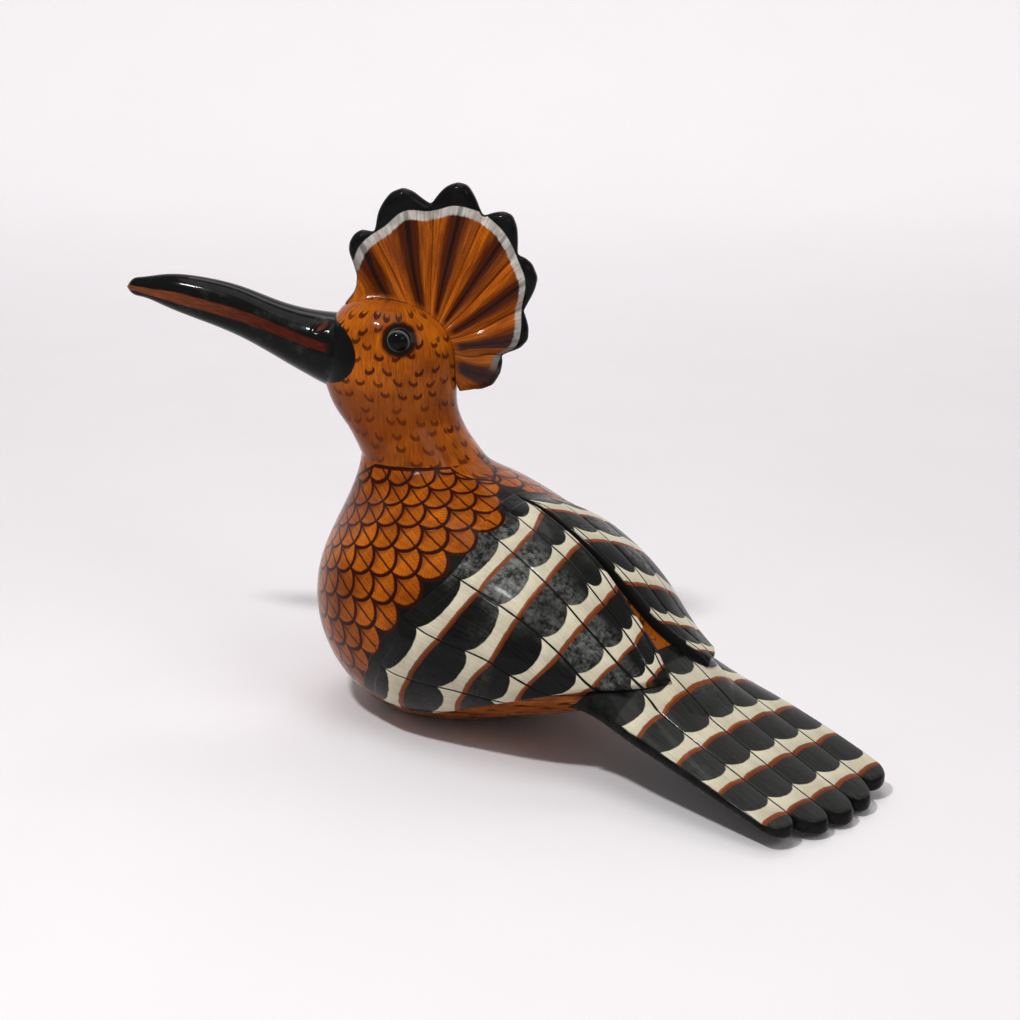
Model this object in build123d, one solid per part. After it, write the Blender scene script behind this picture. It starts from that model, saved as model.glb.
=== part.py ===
from build123d import *
import math
import os

# Alebrije figure: a carved and painted hoopoe looking over its left shoulder. Millimetres.
#
# The bird faces -X, its left side faces -Y and up is +Z. The origin is the centre of the small flat under
# the belly, which the figure rests on together with the underside of its tail tips.
#
# The body and the neck with the head are two carved blocks on one dowel. The bill, the crest, both wings
# and the tail are carved apart and plugged on with round pegs. The neck, the bill, the eyes and the tail are
# glued. The crest and the wings are a push fit and pull off along their pegs.

# --- driving dimensions ---------------------------------------------------------------------------------
FLAT_X = -19.5            # centre of the belly flat; every finished piece is moved to bring it to the origin
NECK_X = -34.0            # the neck's axis stands here, on the bird's middle plane
HEAD_TURN = 36.0          # the head is turned this many degrees to the bird's left
RUN_GAP = 0.4             # air between a part that pulls off and what it sits on
PEG_PLAY = 0.05           # radial play of a peg in the socket that it pulls out of
SOCKET_SPARE = 0.6        # how much deeper a socket is than its peg
DOWEL_R = 4.0             # the neck's dowel
PEG_R = 2.0               # wing, tail and bill pegs
CREST_PEG_R = 1.4
EYE_R = 4.0

# Sections through the body and the neck, from the tail root forwards and up: the back point and the belly
# or breast point on the middle plane as (x, z), half the width across, and how far the wing's outer face
# stands off the body there.
BODY_SECTIONS = [
    ((90.0, 19.0), (89.4, 15.8), 10.0, 1.0),
    ((73.0, 30.6), (69.5, 17.6), 18.5, 2.6),
    ((58.0, 39.5), (52.0, 16.0), 24.0, 3.2),
    ((44.0, 51.0), (35.0, 10.5), 31.6, 3.3),
    ((27.0, 61.5), (13.0, 3.4), 38.0, 3.0),
    ((10.0, 69.0), (-11.0, -3.6), 42.5, 2.0),
    ((0.0, 72.5), (-37.0, -1.6), 43.3, 1.0),
    ((-6.0, 74.2), (-57.4, 17.6), 39.2, 0.9),
    ((-10.0, 75.6), (-62.3, 38.5), 31.0, 0.9),
    ((-13.0, 77.2), (-57.8, 56.0), 23.0, 0.9),
    ((-15.3, 80.4), (-52.3, 71.5), 18.4, 0.9),
    ((-16.9, 86.0), (-51.1, 86.0), 17.1, 0.9),
]

# Sections through the neck and the head in the head's own frame, where +X is backwards from the neck's
# axis: the back point, the front point and half the width.
HEAD_SECTIONS = [
    ((17.1, 86.0), (-17.1, 86.0), 17.1),
    ((12.8, 93.0), (-22.4, 90.5), 16.4),
    ((12.6, 101.0), (-27.8, 96.5), 17.4),
    ((12.8, 108.0), (-29.2, 103.5), 18.0),
    ((11.0, 114.5), (-28.4, 111.0), 17.3),
    ((6.0, 120.5), (-25.6, 118.2), 14.8),
    ((-1.0, 124.2), (-21.0, 123.4), 10.0),
    ((-7.0, 125.6), (-16.0, 125.4), 5.0),
]

# The level where the neck block meets the body block.
COLLAR_Z = 77.0

# Bill sections in the head's frame: x, top z, bottom z, half width.
BILL_SECTIONS = [
    (-20.0, 119.6, 95.0, 13.0),
    (-26.0, 119.9, 96.7, 11.2),
    (-33.0, 120.7, 100.0, 9.6),
    (-42.0, 122.9, 105.0, 8.2),
    (-54.0, 127.3, 111.5, 6.8),
    (-66.0, 130.0, 116.3, 5.7),
    (-78.0, 130.6, 120.8, 4.2),
    (-85.5, 129.6, 123.6, 2.7),
    (-89.6, 127.2, 125.8, 0.6),
]

# Crest feathers in the head's frame, from the forehead to the nape: the angle of each above "backwards",
# its length from the hub and the half width of its round tip.
CREST_HUB = (5.1, 112.8)
CREST_FEATHERS = [
    (133.0, 38.2, 5.9),
    (104.5, 46.2, 7.2),
    (81.5, 47.8, 7.0),
    (57.5, 44.6, 7.0),
    (30.5, 35.0, 7.2),
    (-3.0, 27.2, 7.2),
    (-41.0, 23.0, 6.8),
]
# Notches between the crest feathers, and the two ends of the web that joins them: angle and radius.
CREST_WEB = [(146.0, 31.0), (132.0, 34.5), (119.0, 36.0), (92.5, 39.2), (69.0, 39.5), (45.5, 35.1), (15.0, 27.7),
             (-21.0, 20.6), (-52.0, 17.0)]
CREST_THICK = 6.6
CREST_WEB_THICK = 4.0
CREST_PULL = 52.0         # the crest pulls off along this angle
CREST_PEGS = [(-1.0, 124.3), (11.5, 112.5)]
CREST_PEG_IN_HEAD = 9.0
CREST_PEG_IN_CREST = 8.0

EYE_CENTRE = (-3.6, 13.8, 114.7)

NECK_DOWEL_HALF = 14.0
BILL_PEG = [(-8.0, 0, 105.5), (-36.0, 0, 111.5)]

# Wing outline in side view as (x, z): the front edge from the back down to the shoulder corner and the
# lower edge from there to the tip. The slit along the back is (x, half the slit).
WING_FRONT = [(-5.0, 80.0), (8.0, 68.0), (11.5, 58.0), (3.0, 45.0), (-12.0, 27.5), (-23.0, 12.0)]
WING_LOWER = [(-23.0, 12.0), (-8.0, 9.2), (16.5, 15.6), (39.0, 23.6), (58.0, 28.2), (72.5, 30.0)]
WING_SLIT = [(-6.0, 0.8), (20.0, 1.0), (40.0, 1.8), (56.0, 3.6), (66.0, 7.2), (74.0, 11.5)]
# Wing pegs: x, z and how far from the middle plane the inner end is.
WING_PEGS = [(12.0, 44.0, 28.0), (36.0, 38.0, 22.0)]
WING_PEG_IN_WING = 1.5

# Tail stations from the root to the tips: x, top height on the middle plane, half width, how far the edges
# hang below the middle, thickness.
TAIL_STATIONS = [
    (36.0, 54.0, 31.0, 34.0, 6.0),
    (46.0, 46.5, 28.0, 22.5, 6.4),
    (58.0, 38.4, 26.6, 13.6, 6.8),
    (70.0, 30.2, 27.2, 8.2, 7.0),
    (84.0, 22.8, 27.9, 4.2, 6.8),
    (100.0, 15.9, 28.2, 1.7, 6.2),
    (114.0, 10.2, 28.1, 0.4, 5.2),
    (131.0, 3.9, 27.6, 0.1, 4.0),
]
TAIL_FEATHERS = 5
TAIL_CROWN = 0.6          # how much each feather's back is rounded up
TAIL_LOBE_ENDS = [124.6, 128.0, 129.2, 128.0, 124.6]
TAIL_NOTCHES = [119.0, 120.6, 123.4, 123.4, 120.6, 119.0]
TAIL_SEAT = (63.5, 36.5)  # the plane where the tail meets the body passes here
TAIL_SEAT_SLOPE = 40.0    # and faces backwards and this far down
TAIL_PEGS = [-9.0, 9.0]   # how far the tail's pegs are from the middle plane
TAIL_PEG_MID = (55.0, 26.0)
TAIL_PEG_HALF = 9.0

ROUND_STEPS = [0.0, 25.0, 47.0, 64.0, 76.0, 84.0]


# --- helpers --------------------------------------------------------------------------------------------
def in_head(shape):
    """Turn a shape made in the head's frame to where the head looks."""
    return Location((NECK_X, 0, 0), (0, 0, HEAD_TURN)) * shape


def oval(back, front, half_width, rise=0.0):
    """The oval face between two points of the middle plane, grown outwards by rise."""
    length = math.hypot(front[0] - back[0], front[1] - back[1])
    centre = ((back[0] + front[0]) / 2, 0, (back[1] + front[1]) / 2)
    along = ((front[0] - back[0]) / length, 0, (front[1] - back[1]) / length)
    plane = Plane(origin=centre, x_dir=along, z_dir=(-along[2], 0, along[0]))
    return (plane * Ellipse(length / 2 + rise, half_width + rise)).face()


def body_egg(rise=None, extra=0.0):
    """Body and neck as one smooth solid, grown by one rise all over or by each section's wing rise."""
    faces = []
    for back, front, half_width, wing_rise in BODY_SECTIONS:
        grow = wing_rise if rise is None else rise
        faces.append(oval(back, front, half_width, grow + extra))
    return loft(faces)


def head_solid(rise=0.0):
    return loft([oval(back, front, half_width, rise) for back, front, half_width in HEAD_SECTIONS])


def rod(start, end, radius):
    """A round rod between two points."""
    path = Vector(*end) - Vector(*start)
    plane = Plane(origin=start, z_dir=path)
    return plane * Cylinder(radius, path.length, align=(Align.CENTER, Align.CENTER, Align.MIN))


def step_along(start, direction, distance):
    return tuple(s + d * distance for s, d in zip(start, direction))


def round_end(length, radius):
    """Stations round a half circle: how far along each is, and what share of the full width is left."""
    for angle in ROUND_STEPS:
        turn = math.radians(angle)
        yield length - radius + radius * math.sin(turn), math.cos(turn)


def mirror_y(shape):
    return mirror(shape, about=Plane.XZ)


# --- body, neck and head --------------------------------------------------------------------------------
above_collar = Pos(0, 0, COLLAR_Z) * Box(400, 200, 100, align=(Align.CENTER, Align.CENTER, Align.MIN))
below_collar = Pos(0, 0, COLLAR_Z) * Box(400, 200, 100, align=(Align.CENTER, Align.CENTER, Align.MAX))
below_ground = Box(400, 200, 60, align=(Align.CENTER, Align.CENTER, Align.MAX))

seat_down = math.radians(TAIL_SEAT_SLOPE)
seat_axis = (math.cos(seat_down), 0, -math.sin(seat_down))
seat = Plane(origin=(TAIL_SEAT[0], 0, TAIL_SEAT[1]), x_dir=(0, 1, 0), z_dir=seat_axis)
behind_seat = seat * Box(200, 200, 150, align=(Align.CENTER, Align.CENTER, Align.MIN))

egg = body_egg(0.0)
body_block = egg - above_collar - below_ground - behind_seat
neck_head_block = (egg - below_collar) + in_head(head_solid())

neck_dowel = rod((NECK_X, 0, COLLAR_Z - NECK_DOWEL_HALF), (NECK_X, 0, COLLAR_Z + NECK_DOWEL_HALF), DOWEL_R)
body_block = body_block - neck_dowel
neck_head_block = neck_head_block - neck_dowel

# --- bill -----------------------------------------------------------------------------------------------
bill_faces = []
for x, top, bottom, half_width in BILL_SECTIONS:
    plane = Plane(origin=(x, 0, (top + bottom) / 2), x_dir=(0, 0, 1), z_dir=(-1, 0, 0))
    bill_faces.append((plane * Ellipse((top - bottom) / 2, half_width)).face())
bill = in_head(loft(bill_faces))
bill_peg = in_head(rod(BILL_PEG[0], BILL_PEG[1], PEG_R))
neck_head_block = neck_head_block - bill - bill_peg
bill = bill - bill_peg

# --- eyes -----------------------------------------------------------------------------------------------
eye_x, eye_y, eye_z = EYE_CENTRE
eye_left = in_head(Pos(eye_x, -eye_y, eye_z) * Sphere(EYE_R))
eye_right = in_head(Pos(eye_x, eye_y, eye_z) * Sphere(EYE_R))
neck_head_block = neck_head_block - eye_left - eye_right


# --- crest ----------------------------------------------------------------------------------------------
def crest_feather(angle, length, tip_radius):
    """One feather, lens-shaped across, from the hub to its round tip."""
    turn = math.radians(angle)
    direction = (math.cos(turn), 0, math.sin(turn))
    across = (-math.sin(turn), 0, math.cos(turn))
    hub = (CREST_HUB[0], 0, CREST_HUB[1])
    stations = [(4.0, 0.36, 0.6)]
    stations += [(distance, share, share) for distance, share in round_end(length, tip_radius)]
    faces = []
    for distance, width_share, thick_share in stations:
        plane = Plane(origin=step_along(hub, direction, distance), x_dir=across, z_dir=direction)
        faces.append((plane * Ellipse(tip_radius * width_share, CREST_THICK / 2 * thick_share)).face())
    return loft(faces, ruled=True)


web_points = [(CREST_HUB[0] + radius * math.cos(math.radians(angle)), 0,
               CREST_HUB[1] + radius * math.sin(math.radians(angle))) for angle, radius in CREST_WEB]
web_root = Polyline(web_points[-1], (CREST_HUB[0], 0, CREST_HUB[1]), web_points[0])
web_face = make_face([Spline(*web_points), web_root])
crest_fan = extrude(web_face, amount=CREST_WEB_THICK / 2, dir=(0, 1, 0), both=True)
for feather in CREST_FEATHERS:
    crest_fan = crest_fan + crest_feather(*feather)
crest_fan = crest_fan - head_solid(RUN_GAP)

pull = math.radians(CREST_PULL)
pull_axis = (math.cos(pull), 0, math.sin(pull))
crest_pegs = []
for x, z in CREST_PEGS:
    at_skin = (x, 0, z)
    inner = step_along(at_skin, pull_axis, -CREST_PEG_IN_HEAD)
    socket_end = step_along(inner, pull_axis, -SOCKET_SPARE)
    outer = step_along(at_skin, pull_axis, CREST_PEG_IN_CREST)
    crest_peg = rod(inner, outer, CREST_PEG_R)
    crest_fan = crest_fan - crest_peg
    neck_head_block = neck_head_block - in_head(rod(socket_end, outer, CREST_PEG_R + PEG_PLAY))
    crest_pegs.append(in_head(crest_peg))
crest_fan = in_head(crest_fan)

# --- wings ----------------------------------------------------------------------------------------------
slit_x, slit_y = WING_SLIT[0]
slit_end_x, slit_end_y = WING_SLIT[-1]
front_top = (WING_FRONT[0][0], 0, WING_FRONT[0][1])
tip_low = (WING_LOWER[-1][0], 0, WING_LOWER[-1][1])
front_curve = Spline(*[(x, 0, z) for x, z in WING_FRONT])
lower_curve = Spline(*[(x, 0, z) for x, z in WING_LOWER])
roof = Polyline(tip_low, (tip_low[0], 0, 95), (front_top[0], 0, 95), front_top)
side_outline = extrude(make_face([front_curve, lower_curve, roof]), amount=60, dir=(0, -1, 0))
slit_curve = Spline(*[(x, -y, 0) for x, y in WING_SLIT])
outside = Polyline((slit_end_x, -slit_end_y, 0), (slit_end_x, -60, 0), (-40, -60, 0), (-40, -slit_y, 0),
                   (slit_x, -slit_y, 0))
top_outline = extrude(make_face([slit_curve, outside]), amount=100, dir=(0, 0, 1))
wing_left = (body_egg() - body_egg(RUN_GAP)) & side_outline & top_outline

wing_pegs = []
for x, z, inner_y in WING_PEGS:
    wing_peg = rod((x, -60, z), (x, -inner_y, z), PEG_R) & body_egg(WING_PEG_IN_WING)
    wing_left = wing_left - wing_peg
    socket = rod((x, -60, z), (x, SOCKET_SPARE - inner_y, z), PEG_R + PEG_PLAY)
    body_block = body_block - socket - mirror_y(socket)
    wing_pegs.append(wing_peg)
wing_right = mirror_y(wing_left)


# --- tail -----------------------------------------------------------------------------------------------
def tail_slice(x, z, w, hang, thick):
    """Cross section of the tail: five rounded feather backs over one hollow underside."""
    def top(y):
        return z - hang * (y / w) ** 2

    grooves = [w * (2 * i / TAIL_FEATHERS - 1) for i in range(TAIL_FEATHERS + 1)]
    edges = []
    for left, right in zip(grooves, grooves[1:]):
        middle = (left + right) / 2
        edges.append(ThreePointArc((x, left, top(left)), (x, middle, top(middle) + TAIL_CROWN),
                                   (x, right, top(right))))
    low = thick * 0.9
    side = w - thick * 0.2
    edges.append(ThreePointArc((x, w, top(w)), (x, w + 0.6, top(w) - low * 0.5), (x, side, top(w) - low)))
    edges.append(Spline((x, side, top(w) - low), (x, side / 2, top(side / 2) - thick), (x, 0, z - thick),
                        (x, -side / 2, top(side / 2) - thick), (x, -side, top(w) - low)))
    edges.append(ThreePointArc((x, -side, top(w) - low), (x, -w - 0.6, top(w) - low * 0.5), (x, -w, top(w))))
    return make_face(edges)


def tail_outline():
    """Plan of the tail with its five round tips, as a tall block."""
    x, z, w, hang, thick = TAIL_STATIONS[-1]
    side = w + 2
    ys = [side * (2 * i / TAIL_FEATHERS - 1) for i in range(TAIL_FEATHERS + 1)]
    edges = []
    for i, lobe_end in enumerate(TAIL_LOBE_ENDS):
        start = (TAIL_NOTCHES[i], ys[i], -5)
        middle = (lobe_end, (ys[i] + ys[i + 1]) / 2, -5)
        finish = (TAIL_NOTCHES[i + 1], ys[i + 1], -5)
        edges.append(ThreePointArc(start, middle, finish))
    edges.append(Polyline((TAIL_NOTCHES[-1], side, -5), (TAIL_NOTCHES[-1], 60, -5), (0, 60, -5), (0, -60, -5),
                          (TAIL_NOTCHES[0], -60, -5), (TAIL_NOTCHES[0], -side, -5)))
    return extrude(make_face(edges), amount=100, dir=(0, 0, 1))


tail_plate = loft([tail_slice(*station) for station in TAIL_STATIONS])
tail_fan = (tail_plate & tail_outline()) + egg
tail_fan = (tail_fan & behind_seat) - below_ground
wing_room = (body_egg(None, RUN_GAP) - egg) & side_outline & top_outline
for room in (wing_room, Pos(RUN_GAP, 0, -RUN_GAP) * wing_room):
    tail_fan = tail_fan - room - mirror_y(room)
tail_pegs = []
for y in TAIL_PEGS:
    middle = (TAIL_PEG_MID[0], y, TAIL_PEG_MID[1])
    tail_peg = rod(step_along(middle, seat_axis, -TAIL_PEG_HALF), step_along(middle, seat_axis, TAIL_PEG_HALF),
                   PEG_R)
    body_block = body_block - tail_peg
    tail_fan = tail_fan - tail_peg
    tail_pegs.append(tail_peg)

# --- hand over ------------------------------------------------------------------------------------------
PARTS = {
    "body_block": body_block,
    "neck_head_block": neck_head_block,
    "neck_dowel": neck_dowel,
    "bill": bill,
    "bill_peg": bill_peg,
    "eye_left": eye_left,
    "eye_right": eye_right,
    "crest_fan": crest_fan,
    "crest_peg_front": crest_pegs[0],
    "crest_peg_rear": crest_pegs[1],
    "wing_left": wing_left,
    "wing_left_peg_front": wing_pegs[0],
    "wing_left_peg_rear": wing_pegs[1],
    "wing_right": wing_right,
    "wing_right_peg_front": mirror_y(wing_pegs[0]),
    "wing_right_peg_rear": mirror_y(wing_pegs[1]),
    "tail_fan": tail_fan,
    "tail_peg_left": tail_pegs[0],
    "tail_peg_right": tail_pegs[1],
}
os.makedirs("parts", exist_ok=True)
for name, shape in PARTS.items():
    placed = Pos(-FLAT_X, 0, 0) * shape
    print(name, round(placed.volume, 1), len(placed.solids()), placed.is_valid)
    export_step(placed, f"parts/{name}.step")
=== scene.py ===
from math import cos, pi, radians, sin, tan

import bpy
import numpy as np
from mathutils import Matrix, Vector


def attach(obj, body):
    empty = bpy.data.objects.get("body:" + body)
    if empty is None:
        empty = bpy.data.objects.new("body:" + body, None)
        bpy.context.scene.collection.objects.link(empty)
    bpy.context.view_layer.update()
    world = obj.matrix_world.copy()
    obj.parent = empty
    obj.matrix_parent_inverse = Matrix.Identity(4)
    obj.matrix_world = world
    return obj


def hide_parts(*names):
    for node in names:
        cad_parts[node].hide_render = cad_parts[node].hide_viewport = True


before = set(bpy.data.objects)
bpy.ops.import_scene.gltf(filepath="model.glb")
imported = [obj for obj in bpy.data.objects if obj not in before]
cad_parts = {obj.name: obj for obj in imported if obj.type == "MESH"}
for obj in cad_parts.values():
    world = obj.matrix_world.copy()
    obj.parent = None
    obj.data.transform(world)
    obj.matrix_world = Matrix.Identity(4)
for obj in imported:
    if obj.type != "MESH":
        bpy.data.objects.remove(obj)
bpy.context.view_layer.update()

# The bird is drawn in mm, in the coordinates of the CAD source's sections. FLAT_X is the frame's origin in
# them: a point on the belly flat, 0.6 mm in front of the middle of its area.
FLAT_X = -19.5
NECK_X = -34.0                      # the upright axis the head is turned about
NECK_R = 17.0
HEAD_TURN = radians(36)        # to the bird's left
COLLAR_Z = 77.0                     # the level of the joint under the neck
TAU = 2 * pi

# ---- Curves and surfaces ----


def spline(knots, values, at):
    """Natural cubic spline through values at knots, evaluated at the points at."""
    k = np.asarray(knots, float)
    v = np.asarray(values, float)
    n = len(k)
    flat = v.reshape(n, -1)
    h = np.diff(k)
    matrix = np.zeros((n, n))
    right = np.zeros_like(flat)
    matrix[0, 0] = matrix[-1, -1] = 1
    for i in range(1, n - 1):
        matrix[i, i - 1:i + 2] = h[i - 1], 2 * (h[i - 1] + h[i]), h[i]
        right[i] = 6 * ((flat[i + 1] - flat[i]) / h[i] - (flat[i] - flat[i - 1]) / h[i - 1])
    bend = np.linalg.solve(matrix, right)
    at = np.asarray(at, float)
    t = at.ravel()
    i = np.clip(np.searchsorted(k, t) - 1, 0, n - 2)
    a = ((k[i + 1] - t) / h[i])[:, None]
    b = ((t - k[i]) / h[i])[:, None]
    out = a * flat[i] + b * flat[i + 1]
    out += ((a ** 3 - a) * bend[i] + (b ** 3 - b) * bend[i + 1]) * (h[i] ** 2)[:, None] / 6
    return out.reshape(at.shape + v.shape[1:])


def run(points, slack=0.0):
    """Distance travelled over an array of points along its first axis, starting at 0."""
    steps = np.linalg.norm(np.diff(points, axis=0), axis=-1) + slack
    return np.concatenate([np.zeros_like(steps[:1]), np.cumsum(steps, axis=0)])


def smooth(low, high, x):
    """0 before low, 1 after high and an S between them."""
    t = np.clip((np.asarray(x, float) - low) / (high - low), 0, 1)
    return t * t * (3 - 2 * t)


def rounded(depth, radius):
    """Height, from 0 to 1, of a quarter circle at a depth in from its edge."""
    return np.sqrt(np.clip(1 - (1 - np.clip(depth / radius, 0, 1)) ** 2, 0, 1))


def groove(position, depth, half_width):
    """How deep a carved line is at this distance from it."""
    return depth * np.exp(-(np.asarray(position) / half_width) ** 2)


def look_up(table, i, j):
    """Values between the entries of a table."""
    i, j = (np.clip(at, 0, size - 1.001) for at, size in zip((i, j), table.shape))
    i0, j0 = i.astype(int), j.astype(int)
    di, dj = i - i0, j - j0
    near, far = (table[k, j0] * (1 - dj) + table[k, j0 + 1] * dj for k in (i0, i0 + 1))
    return near * (1 - di) + far * di


def grid(first, second):
    return np.meshgrid(first, second, indexing="ij")


def xyz(*coordinates):
    """Points from their coordinates."""
    return np.stack(np.broadcast_arrays(*coordinates), -1)


class Tube:
    """A smooth skin through oval sections given as (back point, front point, half width, extras...)."""

    def __init__(self, sections):
        self.rows = np.array([[*back, *front, *rest] for back, front, *rest in sections], float)
        self.knots = run((self.rows[:, 0:2] + self.rows[:, 2:4]) / 2)

    def row(self, s):
        return spline(self.knots, self.rows, np.interp(s, np.arange(len(self.knots)), self.knots))

    def at(self, s, angle, rise=0.0):
        """Points for section numbers s; angle is 0 at the front, pi at the back, positive on the left."""
        row = self.row(s)
        bx, bz, fx, fz, w = [row[..., i] for i in range(5)]
        length = np.hypot(fx - bx, fz - bz)
        ax, az = (fx - bx) / length, (fz - bz) / length
        a, b = length / 2 + rise, w + rise
        return xyz((bx + fx) / 2 + ax * a * np.cos(angle), -b * np.sin(angle),
                   (bz + fz) / 2 + az * a * np.cos(angle))


# Each section: x and z at the back, x and z at the front, half width and, on the body, how far the wing's
# outer face stands off the skin.
BODY = Tube([
    ((90, 19), (89.4, 15.8), 10, 1),
    ((73, 30.6), (69.5, 17.6), 18.5, 2.6),
    ((58, 39.5), (52, 16), 24, 3.2),
    ((44, 51), (35, 10.5), 31.6, 3.3),
    ((27, 61.5), (13, 3.4), 38, 3),
    ((10, 69), (-11, -3.6), 42.5, 2),
    ((0, 72.5), (-37, -1.6), 43.3, 1),
    ((-6, 74.2), (-57.4, 17.6), 39.2, 0.9),
    ((-10, 75.6), (-62.3, 38.5), 31, 0.9),
    ((-13, 77.2), (-57.8, 56), 23, 0.9),
    ((-15.3, 80.4), (-52.3, 71.5), 18.4, 0.9),
    ((-16.9, 86), (-51.1, 86), 17.1, 0.9),
])
HEAD = Tube([
    ((13.8, 86), (-22, 86), 17.6),
    ((12, 93), (-25.2, 90.5), 16.4),
    ((12.4, 101), (-27.8, 96.5), 17.4),
    ((12.8, 108), (-29.2, 103.5), 18),
    ((11, 114.5), (-28.4, 111), 17.3),
    ((6, 120.5), (-25.6, 118.2), 14.8),
    ((-1, 124.2), (-21, 123.4), 10),
    ((-7, 125.6), (-16, 125.4), 5),
])
LAST_SECTION = 11


def turn_head(points):
    """From the head's own frame to the bird's."""
    x, y, z = np.moveaxis(points, -1, 0)
    c, s = cos(HEAD_TURN), sin(HEAD_TURN)
    return xyz(NECK_X + c * x - s * y, s * x + c * y, z)


def unturn_head(points):
    """From the bird's frame to the head's own."""
    x, y, z = np.moveaxis(points, -1, 0)
    c, s = cos(HEAD_TURN), sin(HEAD_TURN)
    return xyz(c * (x - NECK_X) + s * y, -s * (x - NECK_X) + c * y, z)


def section_where(angle, low, high, count, measure):
    """The section number at which a rising measure of the body's skin passes 0, for each angle."""
    s = np.linspace(low, high, count)
    return np.array([np.interp(0, column, s) for column in measure(BODY.at(*grid(s, angle))).T])


def collar_section(angle):
    def over_collar(p):
        return np.maximum.accumulate(p[..., 2] + np.arange(len(p))[:, None] * 1e-6, axis=0) - COLLAR_Z

    return section_where(angle, 8, LAST_SECTION, 241, over_collar)


SEAT = (63.5, 36.5)                 # x and z of a point of the plane the tail is glued on
SEAT_SLOPE = radians(40)


def seat_section(angle):
    def before_seat(p):
        return (p[..., 2] - SEAT[1]) * sin(SEAT_SLOPE) - (p[..., 0] - SEAT[0]) * cos(SEAT_SLOPE)

    return section_where(angle, 0.6, 6, 300, before_seat)


# ---- Painted coordinates on the body ----

# The scales are laid out flat round the point of the breast that SCALES_FACE looks at from SCALES_CENTRE.
SCALES_CENTRE = np.array([-20.0, 0, 36])
SCALES_FACE = np.array([0.2, -0.93, 0.3]) / np.linalg.norm([0.2, -0.93, 0.3])
SCALES_RADIUS = 42
FEATHER_SLOPE = radians(35)    # there they point this far below straight towards the tail

# Distance over the skin from the tail's end, at steps of section number and angle.
ARC_A = np.linspace(0, pi, 181)
ARC = run(BODY.at(*grid(np.linspace(0, LAST_SECTION, 331), ARC_A)))
COLLAR_AT = collar_section(ARC_A)

# The painted collar over the scales, from the breast round to the back: angle and section number.
COLLAR_LINE = np.array([
    (0, 9.4), (0.794, 9.63), (1.267, 9.85), (1.569, 10.04), (2.032, 10.1), (2.434, 9.92), (2.819, 9.23),
    (2.961, 7.7), (3.039, 6.93), (3.142, 6.44)])


def skin_distance(s, angle):
    return look_up(ARC, np.asarray(s) / LAST_SECTION * (len(ARC) - 1),
                   np.abs(angle) / pi * (len(ARC_A) - 1))


def below_collar(s, angle):
    """Distance over the skin below the painted collar line, in mm."""
    line = np.minimum(np.interp(np.abs(angle), *COLLAR_LINE.T),
                      np.interp(np.abs(angle), ARC_A, COLLAR_AT) - 0.1)
    return skin_distance(line, angle) - skin_distance(s, angle)


def scale_fields(s, angle):
    """Where each point lies in the pattern of scale feathers: along them and across them, in mm."""
    ray = BODY.at(s, np.abs(angle)) - SCALES_CENTRE
    ray /= np.linalg.norm(ray, axis=-1, keepdims=True)
    level = np.cross([0.0, 0, 1], SCALES_FACE)
    level /= np.linalg.norm(level)
    east, south = ray @ level, ray @ np.cross(level, SCALES_FACE)
    reach = SCALES_RADIUS * np.arccos(np.clip(ray @ SCALES_FACE, -1, 1)) / (np.hypot(east, south) + 1e-9)
    east, south = east * reach, south * reach
    return (east * cos(FEATHER_SLOPE) + south * sin(FEATHER_SLOPE),
            south * cos(FEATHER_SLOPE) - east * sin(FEATHER_SLOPE))


# Where the scale feathers end over the wing, from the back down to the belly: section number and angle. The
# line is kept as the factors of a cubic that gives the distance along the feathers from that across them.
SCALES_END = np.array([(5.25, 3.05), (4.95, 2.92), (4.62, 2.744), (4.72, 2.533), (4.62, 2.315), (4.88, 2.039),
                       (5.08, 1.754), (5.36, 1.426), (5.70, 1.043)])
end_grow, end_side = scale_fields(*SCALES_END.T)
END_CURVE = np.polyfit(end_side, end_grow, 3)
LAST_ROW = END_CURVE - [0, 0, 0, 3.2]       # the last row's centres lie this far above its tips

# ---- Mesh building ----


def new_object(name, data):
    thing = bpy.data.objects.new(name, data)
    bpy.context.scene.collection.objects.link(thing)
    return thing


def make_piece(name, points, faces, fields, material, body, node, flip=False):
    """One visible piece from points in mm, its faces, its painted coordinates and its material."""
    metres = (np.asarray(points, float).reshape(-1, 3) - [FLAT_X, 0, 0]) / 1000
    mesh = bpy.data.meshes.new(name)
    mesh.from_pydata(metres.tolist(), [], [face[::-1] if flip else face for face in faces])
    for field, values in fields.items():
        layer = mesh.attributes.new(field, "FLOAT", "POINT")
        layer.data.foreach_set("value", np.asarray(values, np.float32).ravel())
    mesh.materials.append(material)
    mesh.validate()
    mesh.shade_smooth()
    piece = new_object(name, mesh)
    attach(piece, body)
    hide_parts(node)
    return piece


def grid_faces(rows, columns, wrap=False, start=0):
    """Quads over a grid of points; wrap joins the last column to the first."""
    faces = []
    for i in range(rows - 1):
        low, high = start + i * columns, start + (i + 1) * columns
        for j in range(columns if wrap else columns - 1):
            k = (j + 1) % columns
            faces.append((low + j, low + k, high + k, high + j))
    return faces


def tube_piece(name, points, fields, material, node, flip=False):
    """A glued piece from rings of points, closed at both ends with triangles to the middle of the ring."""
    rows, columns = points.shape[:2]
    count = rows * columns
    faces = grid_faces(rows, columns, wrap=True)
    for start, centre, way in ((0, count, 1), (count - columns, count + 1, -1)):
        faces += [(start + i, start + (i + 1) % columns, centre)[::way] for i in range(columns)]
    points = np.concatenate([points.reshape(-1, 3), [points[0].mean(0), points[-1].mean(0)]])
    fields = {key: np.append(value, value.ravel()[[0, -1]]) for key, value in fields.items()}
    return make_piece(name, points, faces, fields, material, "figure", node, flip)


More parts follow.
